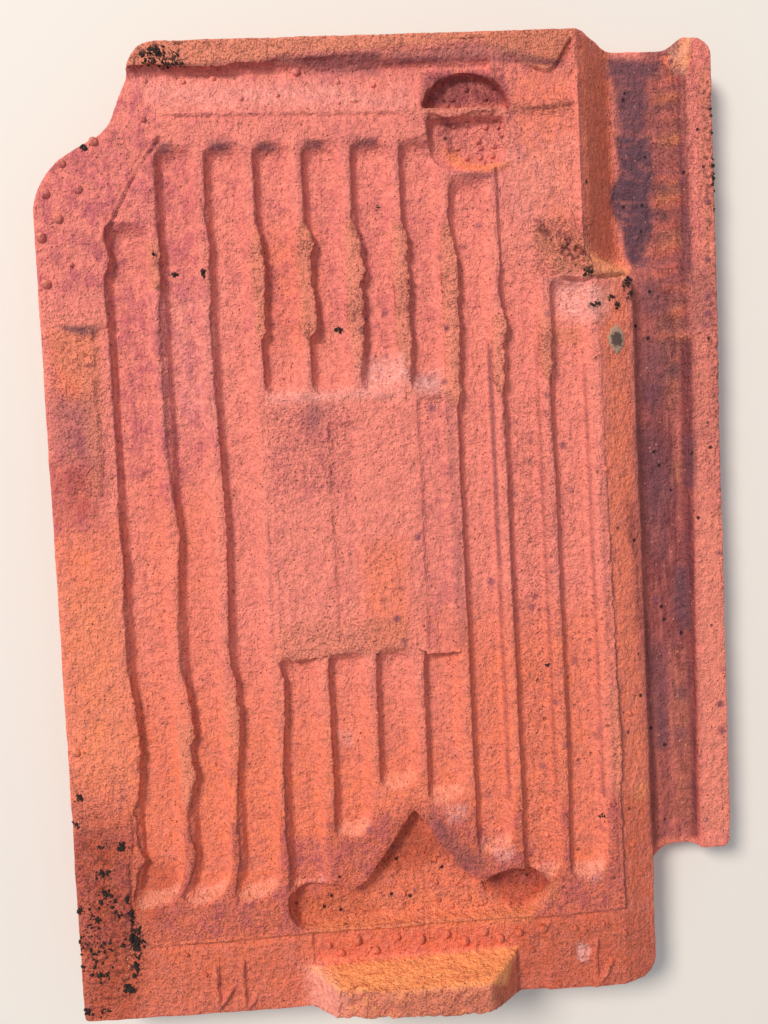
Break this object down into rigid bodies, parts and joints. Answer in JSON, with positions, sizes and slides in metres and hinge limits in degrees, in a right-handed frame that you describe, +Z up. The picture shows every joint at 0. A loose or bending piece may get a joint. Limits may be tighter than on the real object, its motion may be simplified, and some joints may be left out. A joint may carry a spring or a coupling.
{
  "type": "interlocking roof tile",
  "caption": "Interlocking clay roof tile lying face down, with a grooved underside, hanging nib, side-lock ribs, clip pocket and a cover roll along one side.",
  "frame": {"origin": "under the middle of the plan, on the level of the cover roll's crown, which the tile lies on", "axes": "+X across the tile to the cover roll, +Y from the head with the nib to the nose, +Z up out of the ribbed underside"},
  "size_m": [0.3129, 0.443, 0.05],
  "materials": {
    "fired_clay": "matt fired clay, unglazed"
  },
  "bodies": {
    "root": {"roof_tile": "fired_clay"}
  },
  "joints": []
}
